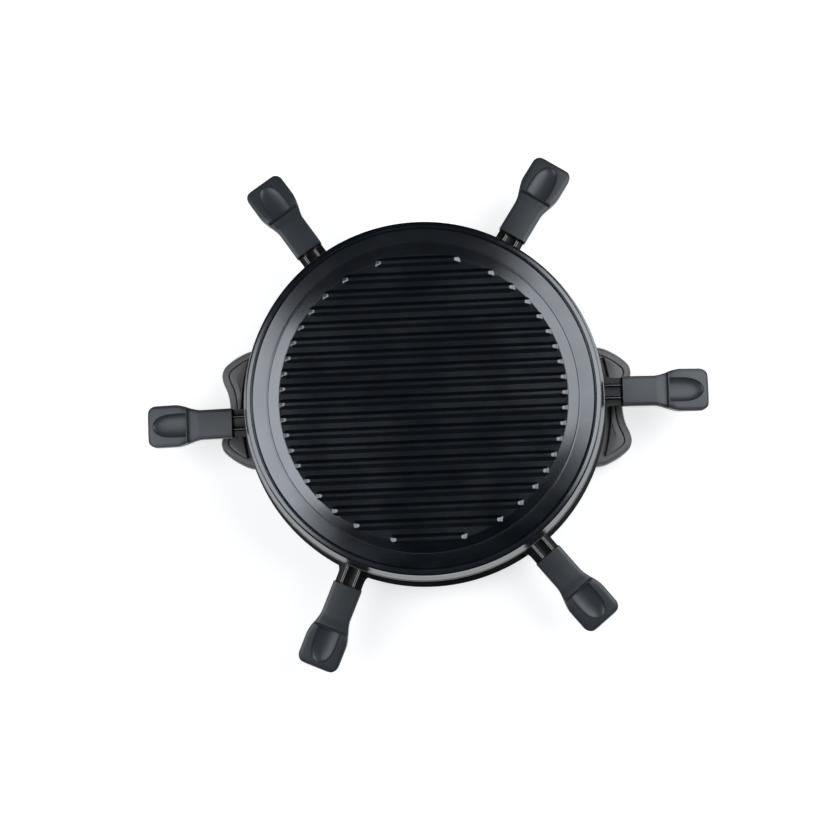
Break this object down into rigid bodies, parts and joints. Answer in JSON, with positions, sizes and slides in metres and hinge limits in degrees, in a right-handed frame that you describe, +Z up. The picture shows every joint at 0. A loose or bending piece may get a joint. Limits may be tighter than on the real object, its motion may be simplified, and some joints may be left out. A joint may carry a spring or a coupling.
{
  "type": "raclette grill",
  "caption": "Round electric raclette grill with a ribbed, dished non-stick grill plate over a ring of fan-shaped pans with long flat handles.",
  "frame": {"origin": "on the table, on the grill's vertical axis", "axes": "+X along the middle line of the first pan bay, where a pan's handle points out; +Z up; the back post with the element's legs is on +Y and the switch is on the front, near -Y"},
  "size_m": [0.4914, 0.4396, 0.11],
  "materials": {
    "base_plastic": "satin black moulding",
    "wing_plastic": "matte dark grey moulding",
    "grip_plastic": "fine-grained satin dark grey",
    "nonstick_coating": "semi-gloss non-stick coating on cast aluminium",
    "pan_coating": "semi-gloss non-stick coating on pressed steel",
    "polished_steel": "bright polished",
    "plain_steel": "plain mill finish",
    "element_steel": "heat-darkened",
    "post_enamel": "satin black enamel",
    "foot_rubber": "matte black",
    "ceramic": "unglazed cream",
    "switch_plastic": "gloss black",
    "lamp_red": "gloss red lens",
    "lead_sleeve": "woven glass sleeve, brown"
  },
  "bodies": {
    "base": {"base_housing": "base_plastic", "bottom_cover": "base_plastic", "foot_1": "foot_rubber", "foot_2": "foot_rubber", "foot_3": "foot_rubber", "foot_4": "foot_rubber", "cover_screw_1": "plain_steel", "cover_screw_2": "plain_steel", "cover_screw_3": "plain_steel", "cover_screw_4": "plain_steel", "side_handle_left": "wing_plastic", "side_handle_right": "wing_plastic", "side_handle_panel_left": "wing_plastic", "side_handle_panel_right": "wing_plastic", "pan_deck": "plain_steel", "post_left": "post_enamel", "post_right": "post_enamel", "wire_duct_post": "post_enamel", "post_screw_1": "plain_steel", "post_screw_2": "plain_steel", "post_screw_3": "plain_steel", "heater_skirt": "polished_steel", "element_bracket_1": "plain_steel", "element_bracket_2": "plain_steel", "element_bracket_3": "plain_steel", "heating_element": "element_steel", "ceramic_terminal": "ceramic", "switch_body": "switch_plastic", "pilot_lens": "lamp_red", "cord_grommet": "foot_rubber", "junction_block": "ceramic", "thermal_cutout": "plain_steel", "lead_neutral": "lead_sleeve", "lead_heater": "lead_sleeve", "lead_switched": "lead_sleeve", "lead_live": "lead_sleeve"},
    "plate": {"grill_plate": "nonstick_coating"},
    "rocker": {"switch_rocker": "switch_plastic"},
    "pan_right_set": {"pan_right": "pan_coating", "pan_handle_right": "grip_plastic", "pan_handle_screw_right": "plain_steel"},
    "pan_back_right_set": {"pan_back_right": "pan_coating", "pan_handle_back_right": "grip_plastic", "pan_handle_screw_back_right": "plain_steel"},
    "pan_back_left_set": {"pan_back_left": "pan_coating", "pan_handle_back_left": "grip_plastic", "pan_handle_screw_back_left": "plain_steel"},
    "pan_left_set": {"pan_left": "pan_coating", "pan_handle_left": "grip_plastic", "pan_handle_screw_left": "plain_steel"},
    "pan_front_left_set": {"pan_front_left": "pan_coating", "pan_handle_front_left": "grip_plastic", "pan_handle_screw_front_left": "plain_steel"},
    "pan_front_right_set": {"pan_front_right": "pan_coating", "pan_handle_front_right": "grip_plastic", "pan_handle_screw_front_right": "plain_steel"}
  },
  "joints": [
    {"name": "plate_lift", "type": "slide", "parent": "base", "child": "plate", "axis": [0, 0, 1], "range_m": [0, 0.12]},
    {"name": "pan_right_pull", "type": "slide", "parent": "base", "child": "pan_right_set", "axis": [0.9963, -0.0861, 0], "range_m": [-0.003, 0.115]},
    {"name": "pan_back_right_pull", "type": "slide", "parent": "base", "child": "pan_back_right_set", "axis": [0.602, 0.7985, 0], "range_m": [-0.003, 0.115]},
    {"name": "pan_back_left_pull", "type": "slide", "parent": "base", "child": "pan_back_left_set", "axis": [-0.4958, 0.8685, 0], "range_m": [-0.003, 0.115]},
    {"name": "pan_left_pull", "type": "slide", "parent": "base", "child": "pan_left_set", "axis": [-0.9979, 0.064, 0], "range_m": [-0.003, 0.115]},
    {"name": "pan_front_left_pull", "type": "slide", "parent": "base", "child": "pan_front_left_set", "axis": [-0.4684, -0.8835, 0], "range_m": [-0.003, 0.115]},
    {"name": "pan_front_right_pull", "type": "slide", "parent": "base", "child": "pan_front_right_set", "axis": [0.5733, -0.8194, 0], "range_m": [-0.003, 0.115]},
    {"name": "switch_rocker_tip", "type": "hinge", "parent": "base", "child": "rocker", "pos_m": [-0.01511, -0.14381, 0.028], "axis": [0.9945, -0.1045, 0], "range_deg": [0, 12]}
  ]
}
